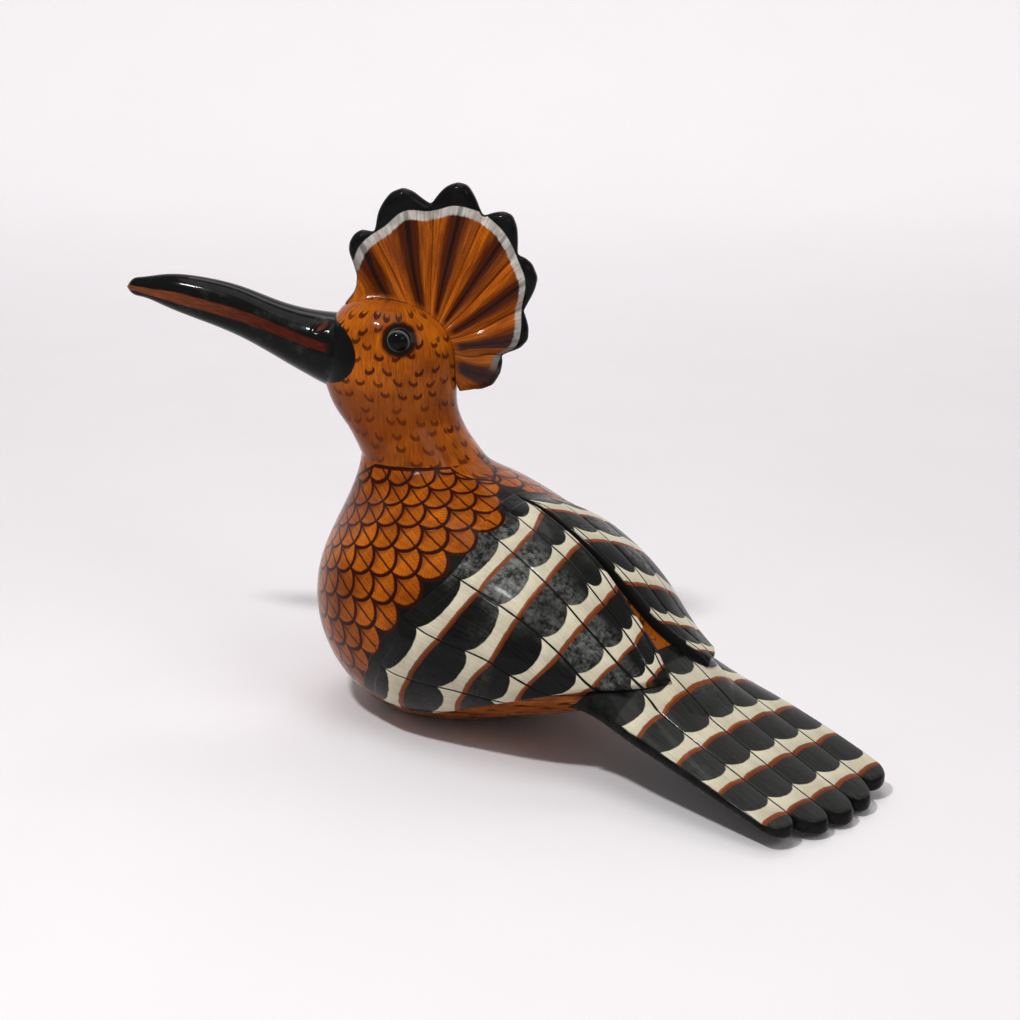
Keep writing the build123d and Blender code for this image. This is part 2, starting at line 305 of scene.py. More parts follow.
def shell_piece(name, sheets, fields, material, body, node, flip=False):
    """A piece between two grids of points, outer then inner, closed all round their rim. A field is one grid
    of values for both or a list of two."""
    rows, columns = sheets[0].shape[:2]
    count = rows * columns
    faces = grid_faces(rows, columns)
    faces += [face[::-1] for face in grid_faces(rows, columns, start=count)]
    index = np.arange(count).reshape(rows, columns)
    rim = np.concatenate([index[0], index[1:, -1], index[-1, -2::-1], index[-2:0:-1, 0]]).tolist()
    faces += [(b, a, a + count, b + count) for a, b in zip(rim, rim[1:] + rim[:1])]
    fields = {key: np.ravel(value if isinstance(value, list) else [value] * 2)
              for key, value in fields.items()}
    return make_piece(name, np.stack(sheets), faces, fields, material, body, node, flip)


def punch(piece, start, end, radius):
    """Drills a round socket into a piece; its ends and its radius are in mm."""
    a, b = ((Vector(point) - Vector((FLAT_X, 0, 0))) / 1000 for point in (start, end))
    bpy.ops.mesh.primitive_cylinder_add(vertices=48, radius=radius / 1000, depth=(b - a).length,
                                        location=(a + b) / 2)
    cutter = bpy.context.object
    cutter.rotation_mode = "QUATERNION"
    cutter.rotation_quaternion = (b - a).to_track_quat("Z", "Y")
    cutter.data.materials.append(piece.data.materials[0])
    modifier = piece.modifiers.new("socket", "BOOLEAN")
    modifier.operation = "DIFFERENCE"
    modifier.solver = "EXACT"
    modifier.object = cutter
    bpy.context.view_layer.update()
    drilled = bpy.data.meshes.new_from_object(piece.evaluated_get(bpy.context.evaluated_depsgraph_get()))
    piece.modifiers.clear()
    piece.data = drilled
    bpy.data.objects.remove(cutter)


# ---- Body, neck and head ----


def ring(columns):
    return (np.arange(columns) + 0.5) / columns * TAU - pi


def body_piece(material):
    rows, columns = 210, 360
    angle = ring(columns)
    low, high = seat_section(angle), collar_section(angle)
    s = low + (high - low) * np.linspace(0, 1, rows)[:, None]
    angle = np.broadcast_to(angle, s.shape)
    points = BODY.at(s, angle)
    points[..., 2] = np.maximum(points[..., 2], 0)
    grow, side = scale_fields(s, angle)
    fields = {"grow": grow, "side": side, "round": np.abs(angle) * BODY.row(s)[..., 4] * 0.9,
              "height": points[..., 2], "neck": below_collar(s, angle), "neck_round": angle * NECK_R,
              "past": grow - np.polyval(END_CURVE, side), "turn": np.abs(angle)}
    return tube_piece("body", points, fields, material, "body_block")


EYE = (-3.6, 13.8, 114.7)
EYE_R = 4.0
CROWN = np.array([-11.2, 0, 126])


def head_piece(material):
    rows, columns = 230, 300
    angle = ring(columns)
    knots = [BODY.at(collar_section(angle), angle)]
    knots += [turn_head(HEAD.at(np.full(columns, float(i)), angle - HEAD_TURN)) for i in range(8)]
    crown = turn_head(CROWN)
    knots.append(knots[-1] * 0.45 + crown * 0.55 + [0, 0, 0.12])
    knots = np.array(knots + [np.broadcast_to(crown, knots[0].shape)])
    places = run(knots).mean(1)
    at = np.linspace(0, places[-1], rows)
    points = spline(places, knots.reshape(len(knots), -1), at).reshape(rows, columns, 3)
    points[0] = knots[0]
    local = unturn_head(points)
    round_it = np.unwrap(np.arctan2(-local[..., 1], -(local[..., 0] + 6)), axis=1)
    eye_far = [np.linalg.norm(local - [EYE[0], side * EYE[1], EYE[2]], axis=2) for side in (-1, 1)]
    fields = {"round": round_it * NECK_R, "height": points[..., 2], "eye": np.minimum(*eye_far),
              "fore": local[..., 0], "eye_x": local[..., 0] - EYE[0]}
    return tube_piece("neck_and_head", points, fields, material, "neck_head_block")


# ---- Bill and eyes, in the head's own frame ----

BILL = np.array([            # x, top, bottom, half width, mouth line as a share of the height
    (-20, 119.6, 95, 13, 0.62),
    (-26, 119.9, 96.7, 11.2, 0.62),
    (-33, 120.7, 100, 9.6, 0.62),
    (-42, 122.9, 105, 8.2, 0.61),
    (-54, 127.3, 111.5, 6.8, 0.53),
    (-66, 130, 116.3, 5.7, 0.47),
    (-78, 130.6, 120.8, 4.2, 0.44),
    (-85.5, 129.6, 123.6, 2.7, 0.44),
    (-88.6, 128.2, 125, 1.5, 0.5),
    (-89.6, 126.7, 126.3, 0.1, 0.5),
])
NOSTRIL = (-27.8, 117.0)


def bill_piece(material):
    rows, columns = 260, 160
    places = run(xyz(BILL[:, 0], (BILL[:, 1] + BILL[:, 2]) / 2))
    at = places[-1] * (1 - (1 - np.linspace(0, 1, rows)) ** 1.25)
    x, top, low, wide, mouth = spline(places, BILL, at).T[:, :, None]
    angle = np.arange(columns) / columns * TAU
    z = (top + low) / 2 + (top - low) / 2 * np.cos(angle)
    y = wide * np.sin(angle)
    gape = z - (low + mouth * (top - low))
    sunk = groove(gape, 0.14, 0.5) * smooth(-24, -32, x) * smooth(-88.5, -84, x)
    ridge = groove(gape - 2.1, 0.08, 0.9) * smooth(-24, -34, x) * smooth(-88, -80, x)
    off_x, off_z = x - NOSTRIL[0], z - NOSTRIL[1]
    nostril = np.hypot((off_x * 0.86 + off_z * 0.5) / 1.9, (off_z * 0.86 - off_x * 0.5) / 0.85)
    pit = (0.45 * np.exp(-nostril ** 2 * 1.2) - groove(nostril - 1.7, 0.16, 0.5)) * (np.abs(y) > 3)
    y = y - np.sign(y) * (sunk - ridge + pit)
    x = np.broadcast_to(x, z.shape)
    fields = {"gape": gape, "along": x, "nostril": nostril}
    tube_piece("bill_piece", turn_head(xyz(x, y, z)), fields, material, "bill", flip=True)


def eye_piece(name, side, material):
    rows, columns = 40, 64
    lean = np.linspace(0, pi, rows)[:, None]
    turn = np.arange(columns) / columns * TAU
    y = side * (EYE[1] + EYE_R * np.cos(lean))
    x = EYE[0] + EYE_R * np.sin(lean) * np.cos(turn)
    z = EYE[2] + EYE_R * np.sin(lean) * np.sin(turn)
    make_piece(name + "_bead", turn_head(xyz(x, y, z)), grid_faces(rows, columns, wrap=True),
               {"lean": np.broadcast_to(lean, x.shape)}, material, "figure", name,
               flip=side > 0)


# ---- Crest, in the head's own frame ----

CREST_HUB = (5.1, 112.8)
CREST_FIRST, CREST_LAST = radians(-64), radians(159)
# The outline over the seven round lobes, from the forehead to the nape: degrees, radius from the hub.
CREST_RIM = [
    (159, 28.9), (154, 28.2), (150, 27.9), (146, 28.3), (141, 29.9), (137, 33.2), (134.5, 36.6), (131, 38.6),
    (127, 39.5), (123.5, 39.3), (119, 36.6), (117, 38), (113.5, 41.5), (110, 43.8), (106, 45.9), (101, 46.5),
    (97.3, 44.9), (94.5, 42.8), (90.5, 40.6), (88, 43.6), (84.8, 46.5), (80.8, 48.2), (77, 47.9),
    (73.5, 45.2), (70.5, 42.4), (67.8, 40.4), (64.7, 42.7), (61, 44.6), (57.4, 44.9), (53.2, 42.6),
    (49, 39.2), (45.5, 36.4), (42, 37.5), (37.8, 38), (31, 37), (26.4, 34.4), (22.3, 31.4), (18, 28.8),
    (13, 29), (7, 29.2), (0, 28.8), (-5.5, 26.6), (-10, 23.2), (-13.5, 21.4), (-19, 22.2), (-27, 22.9),
    (-38, 23), (-47, 21.4), (-52, 20), (-57, 19.2), (-64, 18.2)]
# The outside of the white band, in the same terms.
CREST_WHITE = [
    (160, 36), (146, 35), (136, 33.6), (130, 35.2), (120, 36.4), (111, 37.4), (101, 39.9), (90, 38.9),
    (82, 41.1), (74, 41.7), (64, 40.8), (54, 39), (45, 36), (34, 33.9), (21, 28.9), (11, 27.4), (4, 26.7),
    (-3, 25.5), (-12, 22), (-26, 21.4), (-41, 20.8), (-56, 19.5), (-66, 19.5)]
# The seven feathers' edges and quills: feather number, degrees at the rim, degrees at the head.
CREST_RAYS = [
    (0, 152, 160), (0.5, 126, 137), (1, 119.9, 125), (1.5, 101, 109), (2, 89.5, 94), (2.5, 77.4, 81),
    (3, 67.6, 70), (3.5, 55.2, 54), (4, 46, 40), (4.5, 32.7, 19), (5, 19.3, 3), (5.5, 0, -20),
    (6, -13, -32), (6.5, -33, -47), (7, -63, -66)]
HEAD_OUTLINE = np.array([
    (12.8, 93), (12.6, 101), (12.8, 108), (11, 114.5), (6, 120.5), (-1, 124.2), (-7, 125.8), (-11.2, 126),
    (-16, 125.5), (-21, 123.4)])


def head_profile(angle):
    """Radius from the crest's hub to the head's outline in the middle plane, for each angle."""
    last = len(HEAD_OUTLINE) - 1
    x, z = (spline(range(last + 1), HEAD_OUTLINE, np.linspace(0, last, 600)) - CREST_HUB).T
    return np.interp(angle, np.unwrap(np.arctan2(z, x)), np.hypot(x, z))


def crest_piece(material):
    rows, columns = 110, 620
    rim_table, white_table, rays = (np.array(table, float)[::-1].T
                                    for table in (CREST_RIM, CREST_WHITE, CREST_RAYS))
    angle = np.linspace(CREST_FIRST, CREST_LAST, columns)
    rim = np.interp(angle, np.radians(rim_table[0]), rim_table[1])
    kernel = np.exp(-(np.arange(-9, 10) / 3.6) ** 2)        # takes the corners off the outline
    rim = np.convolve(np.pad(rim, 9, mode="edge"), kernel / kernel.sum(), mode="valid")
    slope = np.gradient(rim, angle) / rim
    root = head_profile(angle)
    share = 1 - (1 - np.linspace(0, 1, rows)[:, None]) ** 1.35
    root_radius = root + 0.16
    radius = root_radius + (rim - root_radius) * share
    at_rim, at_root = (np.interp(angle, np.radians(turn), rays[0]) for turn in rays[1:])
    feather = at_root + (at_rim - at_root) * smooth(-0.35, 0.9, (radius - root) / (rim - root))
    across = np.abs((feather % 1) * 2 - 1)
    edge = np.minimum((rim - radius) / np.sqrt(1 + slope ** 2), radius * (angle - CREST_FIRST))
    free = smooth(1, 13, radius - root)
    plump = 3.15 * (1 - 0.42 * free * across ** 2.4) - 0.35 * free + 2 * np.exp(-(radius - root) / 2.4)
    half = plump * (0.10 + 0.90 * rounded(edge, 2.6))
    half = half - groove((1 - across) * 2.6, 0.34, 0.45) * smooth(0.4, 2, edge)
    r = radius - (1 - share) * half ** 2 / 28
    x, z = CREST_HUB[0] + r * np.cos(angle), CREST_HUB[1] + r * np.sin(angle)
    fields = {"feather": feather, "reach": radius, "edge": edge, "root": radius - root,
              "band": radius - spline(np.radians(white_table[0]), white_table[1], angle)}
    sheets = [turn_head(xyz(x, side * half, z)) for side in (-1, 1)]
    shell_piece("crest_plumes", sheets, fields, material, "crest", "crest_fan")


# ---- Wings ----

# The outline of the left wing in front and below, as x and z, and along the slit on the back, as x and y.
WING_FRONT = np.array([(-5, 80), (8, 68), (11.5, 58), (3, 45), (-12, 27.5), (-23, 12)])
WING_LOWER = np.array([(-23, 12), (-8, 9.2), (16.5, 15.6), (39, 23.6), (58, 28.2), (72.5, 30)])
WING_SLIT = np.array([(-6, 0.5), (20, 0.5), (40, 0.8), (56, 2), (66, 4.6), (74, 8.6)])
WING_GAP = 0.42                     # between the wing and the body's skin
# The painted feather strips: each line between two strips, from the slit to the lower edge, crosses the rust
# bars 0, 1, 2... at these section numbers and angles.
WING_NET = [
    [(5.84, 3.14), (4.47, 3.087), (3.651, 3.075), (2.72, 3.012), (1.929, 2.95), (1.227, 2.723)],
    [(5.241, 2.958), (4.245, 2.896), (3.551, 2.875), (2.626, 2.809), (1.799, 2.712), (1.185, 2.532)],
    [(4.939, 2.69), (4.135, 2.621), (3.431, 2.569), (2.563, 2.477), (1.745, 2.337), (1.156, 2.201)],
    [(4.956, 2.265), (4.129, 2.211), (3.384, 2.158), (2.552, 2.032), (1.847, 1.765)],
    [(5.2, 1.82), (4.359, 1.725), (3.468, 1.652), (2.865, 1.481)],
    [(5.60, 1.39), (4.75, 1.30), (3.85, 1.225)],
    [(5.835, 0.95), (5.0, 0.909), (4.1, 0.9)],
]
NET_MM = (13, 33)                   # about how many mm a section number and a radian are over the wing
NET_SLACK = 6.0                     # how freely the net may miss its crossings
# Steps over the body when the wing's outline is looked for, and points along each of its lines.
TABLE_S, TABLE_A = np.linspace(0.4, 7.5, 500), np.linspace(0.3, pi, 300)
LINE, LINE_MIDDLE, FINE = 420, 200, 800
NUDGE = 1e-4


def on_skin(targets, second, guess, lowest_angle):
    """Section number and angle of the points of the left side that have these x and second coordinates."""
    s, angle = guess
    for _ in range(40):
        p = BODY.at(s, angle)[:, [0, second]]
        a, c = (BODY.at(s + NUDGE, angle)[:, [0, second]] - p).T / NUDGE
        b, d = (BODY.at(s, angle + NUDGE)[:, [0, second]] - p).T / NUDGE
        miss, other_miss = (targets - p).T
        det = a * d - b * c
        det = np.where(np.abs(det) < 1e-6, 1e-6, det)
        s = np.clip(s + np.clip((d * miss - b * other_miss) / det, -0.2, 0.2), 0.05, 10.5)
        angle = np.clip(angle + np.clip((a * other_miss - c * miss) / det, -0.1, 0.1), lowest_angle,
                        pi - 0.004)
    return xyz(s, angle)


def curve_through(knots, count):
    """Points along a smooth curve through knots."""
    places = run(knots)
    fine = spline(places, knots, np.linspace(0, places[-1], FINE))
    return fine[(np.linspace(0, 1, count) * (FINE - 1)).astype(int)]


def wing_sheet(count_along, count_across):
    """Section numbers and angles over the left wing: rows from front to tip, columns from slit to edge."""
    skin = BODY.at(*grid(TABLE_S, TABLE_A))

    def seek(knots, second, lowest_angle):
        curve = curve_through(knots, LINE)
        found = []
        for x, other in curve:
            miss = (skin[..., 0] - x) ** 2 + (skin[..., second] - other) ** 2
            i, j = np.unravel_index(np.argmin(miss + 1e6 * (TABLE_A < lowest_angle)), miss.shape)
            found.append((TABLE_S[i], TABLE_A[j]))
        return on_skin(curve, second, np.array(found).T, lowest_angle)

    def meeting(one, other):
        gap = np.linalg.norm(BODY.at(*one.T)[:, None] - BODY.at(*other.T)[None], axis=2)
        return np.unravel_index(np.argmin(gap), gap.shape)

    def even(line, count):
        steps = run(BODY.at(*line.T), 1e-6)
        share = np.linspace(0, 1, count) * steps[-1]
        return xyz(*(np.interp(share, steps, column) for column in line.T))

    slit = seek(WING_SLIT * [1, -1], 1, 1.8)
    lower, front = (seek(line, 2, TABLE_A[0]) for line in (WING_LOWER, WING_FRONT))
    # The lines meet at the tip past their middle and at the top before it.
    slit_tip, lower_tip = meeting(slit, lower[LINE_MIDDLE:])
    slit_top, front_top = meeting(slit[:LINE_MIDDLE], front[:LINE_MIDDLE])
    slit = even(slit[slit_top:slit_tip + 1], count_along)
    lower = even(lower[:lower_tip + LINE_MIDDLE + 1], count_along)
    front = even(front[front_top:], count_across)
    k = np.linspace(0, 1, count_across)[None, :, None]
    t = np.linspace(0, 1, count_along)[:, None, None]
    fix = front[None] - ((1 - k) * slit[0] + k * lower[0])
    sheet = (1 - k) * slit[:, None] + k * lower[:, None] + (1 - t) * fix * (1 - smooth(0.55, 1, t))
    return sheet[..., 0], sheet[..., 1]


def feather_net(s, angle):
    """Bar and strip number at each point of the wing, from a thin plate through the net's crossings."""
    knots = np.array([point for line in WING_NET for point in line]) * NET_MM
    values = [(bar, strip) for strip, line in enumerate(WING_NET) for bar in range(len(line))]

    def bend(a, b):
        r2 = ((a[:, None] - b[None]) ** 2).sum(2) + 1e-9
        return 0.5 * r2 * np.log(r2)

    count = len(knots)
    matrix = np.zeros((count + 3, count + 3))
    matrix[:count, :count] = bend(knots, knots) + np.eye(count) * NET_SLACK
    matrix[:count, count] = matrix[count, :count] = 1
    matrix[:count, count + 1:] = knots
    matrix[count + 1:, :count] = knots.T
    weights = np.linalg.solve(matrix, np.concatenate([values, np.zeros((3, 2))]))
    where = xyz(s.ravel(), angle.ravel()) * NET_MM
    out = bend(where, knots) @ weights[:count] + weights[count] + where @ weights[count + 1:]
    return out.T.reshape(2, *s.shape)


def steepness(values, points):
    """How fast a field changes over a grid of points, per mm."""
    steps = [np.linalg.norm(np.gradient(points, axis=k), axis=2) + 1e-4 for k in (0, 1)]
    return np.hypot(*(np.gradient(values, axis=k) / steps[k] for k in (0, 1))) + 1e-4


def near_line(values):
    """Distance from the nearest whole number."""
    return np.abs(values - np.round(values))


def wing_pieces(material):
    rows, columns = 300, 230
    s, angle = wing_sheet(rows, columns)
    skin = BODY.at(s, angle)
    bar, strip = feather_net(s, angle)
    seam = near_line(strip) / steepness(strip, skin)
    grow, side = scale_fields(s, angle)
    from_slit = run(skin.swapaxes(0, 1)).T
    to_rim = np.minimum(from_slit, from_slit[:, -1:] - from_slit)
    thick = BODY.row(s)[..., 5] - WING_GAP
    edge = rounded(to_rim, 1.5)
    front = 0.12 + 0.88 * smooth(0, 11, run(skin))
    barred = smooth(-2, 2, grow - np.polyval(END_CURVE, side))
    vault = 0.16 * (4 * (strip % 1) * (1 - strip % 1)) * barred
    cut = groove(seam, 0.34, 0.30) * barred * (strip > 0.4)
    outer = WING_GAP + np.maximum(thick * edge * front + (vault - cut) * edge * (front > 0.5), 0.03)
    fields = {"bar": bar, "strip": strip, "seam": seam, "grow": grow, "side": side, "slit": from_slit,
              "inner": [np.zeros(s.shape), np.ones(s.shape)]}
    left = np.stack([BODY.at(s, angle, outer), BODY.at(s, angle, np.full_like(outer, WING_GAP))])
    shell_piece("left_wing", left, fields, material, "wing_left", "wing_left")
    shell_piece("right_wing", left * [1, -1, 1], fields, material, "wing_right", "wing_right",
                flip=True)


# ---- Tail ----

TAIL_STATIONS = np.array([    # x, top at the middle, half width, hang of the sides, thickness
    (36, 54, 31, 34, 6), (46, 46.5, 28, 22.5, 6.4), (58, 38.4, 26.6, 13.6, 6.8), (70, 30.2, 27.2, 8.2, 7),
    (84, 22.8, 27.9, 4.2, 6.8), (100, 15.9, 28.2, 1.7, 6.2), (114, 10.2, 28.1, 0.4, 5.2),
    (131, 3.9, 27.6, 0.1, 4)])
TAIL_TIPS = np.array([124.6, 128.0, 129.2, 128.0, 124.6])                   # x
TAIL_NOTCHES = np.array([119.0, 120.6, 123.4, 123.4, 120.6, 119.0])         # x
TAIL_BAR_START = 62.4         # x of the first rust bar, counted as bar 0
TAIL_BAR_STEP = 14.5
PLAN_START, PLAN_STEP, PLAN_SHAPE = 30, 0.5, (140, 80)      # the plan grid of the body's rear, from this x
NO_SKIN = 99.0


def body_heights():
    """Highest and lowest skin of the body's rear, each as a function of x and y."""
    p = BODY.at(*grid(np.linspace(0, 5.5, 1400), np.linspace(0, pi, 1200)))
    cells = tuple(np.clip((at / PLAN_STEP).round().astype(int), 0, size - 1)
                  for at, size in zip((p[..., 0] - PLAN_START, -p[..., 1]), PLAN_SHAPE))
    top, low = np.full(PLAN_SHAPE, -NO_SKIN), np.full(PLAN_SHAPE, NO_SKIN)
    np.maximum.at(top, cells, p[..., 2])
    np.minimum.at(low, cells, p[..., 2])
    return [lambda x, y, table=table: look_up(table, (x - PLAN_START) / PLAN_STEP, np.abs(y) / PLAN_STEP)
            for table in (top, low)]


def tail_piece(material):
    rows, columns = 260, 300
    v = np.linspace(-1, 1, columns)[None, :]
    body_top, body_low = body_heights()
    strip = (v + 1) * 2.5
    number = np.clip(strip.astype(int), 0, 4)
    part = strip - number
    left, right = TAIL_NOTCHES[number], TAIL_NOTCHES[number + 1]
    swell = TAIL_TIPS[number] - (left + right) / 2
    end = left + (right - left) * part + swell * np.sqrt(np.clip(1 - (2 * part - 1) ** 2, 0, 1))

    def surfaces(x):
        z, w, hang, thick = np.moveaxis(spline(TAIL_STATIONS[:, 0], TAIL_STATIONS[:, 1:], x), -1, 0)
        crown = 0.60 * 4 * part * (1 - part)
        top = z - hang * v ** 2 + crown
        return v * (w + 0.5), top, top - crown - thick * (1 - 0.5 * v ** 4), w

    def under_wing(x, y, top):
        """0 where the tail lies under a wing, 1 clear of it."""
        slit, lower = (np.interp(x, *line.T) for line in (WING_SLIT, WING_LOWER))
        return smooth(0.3, 1.3, np.maximum(np.maximum(slit - np.abs(y), lower - top), x - 72.5))

    def heights(x):
        y, top, low, w = surfaces(x)
        over, under = body_top(x, y), body_low(x, y)
        top = np.maximum(top, over - 0.05)
        free = under_wing(x, y, over)
        top = np.where(over > 0, np.minimum(top, over) * (1 - free) + top * free, top)
        low = np.where(under < NO_SKIN - 9, np.minimum(low, under), low)
        return y, top, np.maximum(low, 0.05), w

    def start_of(which):
        """x at which the seat plane cuts the tail's top (1) or underside (2)."""
        x = np.full((1, columns), 60.0)
        for _ in range(60):
            x = x + 0.5 * (SEAT[0] + (heights(x)[which] - SEAT[1]) * tan(SEAT_SLOPE) - x)
        return x

    share = 1 - (1 - np.linspace(0, 1, rows)[:, None]) ** 1.35
    sheets = []
    for which in (1, 2):
        begin = start_of(which)
        x = begin + (end - begin) * share
        found = heights(x)
        sheets.append((x, found[0], found[which], found[3]))
    (x, y, top, w), (x_under, y_under, low, _) = sheets
    lean = np.sqrt(1 + np.gradient(end[0], y[-1]) ** 2)
    to_side = w * (1 - np.abs(v))
    rim, rim_under = (np.minimum(np.minimum((end - at) / lean, to_side), 3) for at in (x, x_under))
    depth = np.maximum(top - surfaces(x)[2], 1)
    seam = near_line(strip) * w * 0.4
    cut = groove(seam, 0.32, 0.34) * smooth(72, 77, x) * (np.abs(v) < 0.97)
    top = top - (1 - rounded(rim, 1.3)) * depth * (0.24 + 0.16 * smooth(2, 0, (end - x) / lean)) - cut
    _, high_under, low_under, _ = surfaces(x_under)
    low = np.maximum(low + (1 - rounded(rim_under, 1.9)) * (high_under - low_under) * 0.42, 0.05)
    fields = {"strip": np.broadcast_to(strip, x.shape), "seam": seam, "rim": [rim, rim_under],
              "bar": [(at - TAIL_BAR_START) / TAIL_BAR_STEP for at in (x, x_under)],
              "under": [np.zeros(x.shape), np.ones(x.shape)]}
    shell_piece("tail_feathers", [xyz(x, y, top), xyz(x_under, y_under, low)], fields, material, "figure",
                "tail_fan", flip=True)


# ---- Node painting ----


def operator(kind):
    """A Math node as an operator, with the number before the sign and after it."""
    return lambda a, b: a.paint.math(kind, a, b), lambda a, b: a.paint.math(kind, b, a)


class Value:
    """A number in a node tree; arithmetic on it adds Math nodes."""

    def __init__(self, paint, socket):
        self.paint, self.socket = paint, socket

    def __abs__(self):
        return self.paint.math("ABSOLUTE", self)

    __add__, __radd__ = operator("ADD")
    __sub__, __rsub__ = operator("SUBTRACT")
    __mul__, __rmul__ = operator("MULTIPLY")
    __truediv__ = operator("DIVIDE")[0]


class Paint:
    """One node material and the small vocabulary its pattern is written in."""

    def __init__(self, name):
        self.material = bpy.data.materials.new(name)
        self.material.use_nodes = True
        self.tree = self.material.node_tree
        self.shader = self.tree.nodes["Principled BSDF"]
        self.place = self.node("TexCoord").outputs["Object"]

    def feed(self, node, inputs):
        """Gives a node's inputs their values, colours or links."""
        for key, value in dict(inputs).items():
            socket = node.inputs[key]
            if isinstance(value, Value):
                value = value.socket
            if isinstance(value, (int, float)):
                socket.default_value = value
            elif isinstance(value, tuple):
                socket.default_value = (*value, 1.0) if len(socket.default_value) == 4 else value
            else:
                self.tree.links.new(value, socket)

    def node(self, kind, inputs=(), **settings):
        node = self.tree.nodes.new("ShaderNode" + kind)
        for key, value in settings.items():
            setattr(node, key, value)
        self.feed(node, inputs)
        return node

    def math(self, kind, *values):
        return Value(self, self.node("Math", enumerate(values), operation=kind).outputs[0])

    def field(self, *names):
        """Coordinates stored on the mesh."""
        values = [Value(self, self.node("Attribute", attribute_name=name).outputs["Fac"]) for name in names]
        return values if len(values) > 1 else values[0]

    def ramp(self, x, low, high, start=0.0, end=1.0):
        """Smoothly from start to end as x goes from low to high."""
        inputs = {"Value": x, "From Min": low, "From Max": high, "To Min": start, "To Max": end}
        return Value(self, self.node("MapRange", inputs, interpolation_type="SMOOTHSTEP").outputs[0])

    def inside(self, x, edge, soft):
        """1 where x is below edge, 0 above, with a soft edge."""
        return self.ramp(x, edge - soft, edge + soft, 1.0, 0.0)

    def band(self, x, centre, half, soft):
        return self.inside(abs(x - centre), half, soft)

    def either(self, one, *others):
        for other in others:
            one = self.math("MAXIMUM", one, other)
        return one

    def join(self, x, y, z=0.0):
        return self.node("CombineXYZ", enumerate((x, y, z))).outputs[0]

    def noise(self, scale, detail=2.0, rough=0.5, where=None, warp=0.0):
        """Smooth noise from 0 to 1; scale is bumps per unit of where (per metre over the object itself)."""
        inputs = {"Vector": where or self.place, "Scale": scale, "Detail": detail, "Roughness": rough,
                  "Distortion": warp}
        return Value(self, self.node("TexNoise", inputs).outputs["Fac"])

    def streaks(self, x, y, detail, rough=0.6):
        """Noise with a bump to each unit of two coordinates."""
        return self.noise(1, detail, rough, self.join(x, y))

    def chance(self, x, y, seed):
        """A different steady number from 0 to 1 for each whole x and y."""
        node = self.node("TexWhiteNoise", {"Vector": self.join(x, y, seed)}, noise_dimensions="3D")
        return Value(self, node.outputs["Value"])

    def mix(self, share, under, over):
        inputs = {"Factor": share, "A": under, "B": over}
        return self.node("Mix", inputs, data_type="RGBA").outputs["Result"]

    def layers(self, colour, *layers):
        """A colour with further coats over it, each given as how much it covers and its own colour."""
        for share, over in layers:
            colour = self.mix(share, colour, over)
        return colour

    def shade(self, colour, factor):
        """The colour made darker or lighter by a factor."""
        return self.node("VectorMath", {0: colour, "Scale": factor}, operation="SCALE").outputs[0]

    def finish(self, colour, roughness, coat, coat_rough, height, strength, distance=0.0002):
        bump = self.node("Bump", {"Strength": strength, "Distance": distance, "Height": height}).outputs[0]
        self.feed(self.shader, {
            "Base Color": colour, "Roughness": roughness, "Coat Weight": coat, "Coat Roughness": coat_rough,
            "Specular IOR Level": 0.02, "Coat IOR": 1.16, "Normal": bump, "Coat Normal": bump})
        return self.material


ORANGE = (0.50, 0.128, 0.006)
ORANGE_DEEP = (0.23, 0.042, 0.003)
BROWN = (0.028, 0.0045, 0.0015)
BROWN_MID = (0.13, 0.026, 0.005)
CREAM = (0.62, 0.575, 0.43)
RUST = (0.16, 0.031, 0.005)
GREY = (0.20, 0.205, 0.19)
BLACK = (0.0055, 0.0055, 0.0053)
GREYISH_BLACK = (0.030, 0.030, 0.028)
CHARCOAL = (0.03, 0.03, 0.03)
EYE_RING = (0.20, 0.19, 0.18)
BILL_RED = (0.20, 0.052, 0.018)
BILL_RED_DEEP = (0.075, 0.012, 0.006)
NOSTRIL_RED = (0.09, 0.016, 0.008)
CREST_HALO = (0.15, 0.032, 0.004)
CREST_STRIPE = (0.042, 0.0062, 0.0016)
CREST_QUILL = (0.010, 0.0045, 0.003)
CREST_DULL = (0.22, 0.090, 0.035)
CREST_DUSK = (0.030, 0.022, 0.024)
OFF_WHITE = (0.60, 0.57, 0.52)
WHITE_DULL = (0.13, 0.125, 0.12)
WHITE_IN_SHADE = (0.05, 0.045, 0.04)
WOOD = (0.66, 0.46, 0.27)
WOOD_DEEP = (0.42, 0.25, 0.12)
WOOD_PORE = (0.20, 0.10, 0.04)


def brushed_orange(p, along, across, light=1.0):
    """Orange paint with fine brush streaks running along a coordinate in mm."""
    streak = p.streaks(along * 0.16, across * 2.1, 4)
    cloud = p.noise(70, 3, 0.55)
    tone = p.ramp(streak * 0.6 + cloud * 0.4, 0.32, 0.68)
    return p.shade(p.mix(tone, ORANGE_DEEP, ORANGE), p.ramp(cloud, 0.25, 0.75, 0.72 * light, 1.14 * light))


def odd_row(p, row):
    """Every other row is shifted by half a column."""
    return p.math("FLOORED_MODULO", row, 2) * 0.5


SCALE_WIDE = 10.0         # one painted scale feather: column spacing, row spacing, half width and length, mm
SCALE_ROW = 6.2
SCALE_HALF = 5.6
SCALE_LONG = 6.8


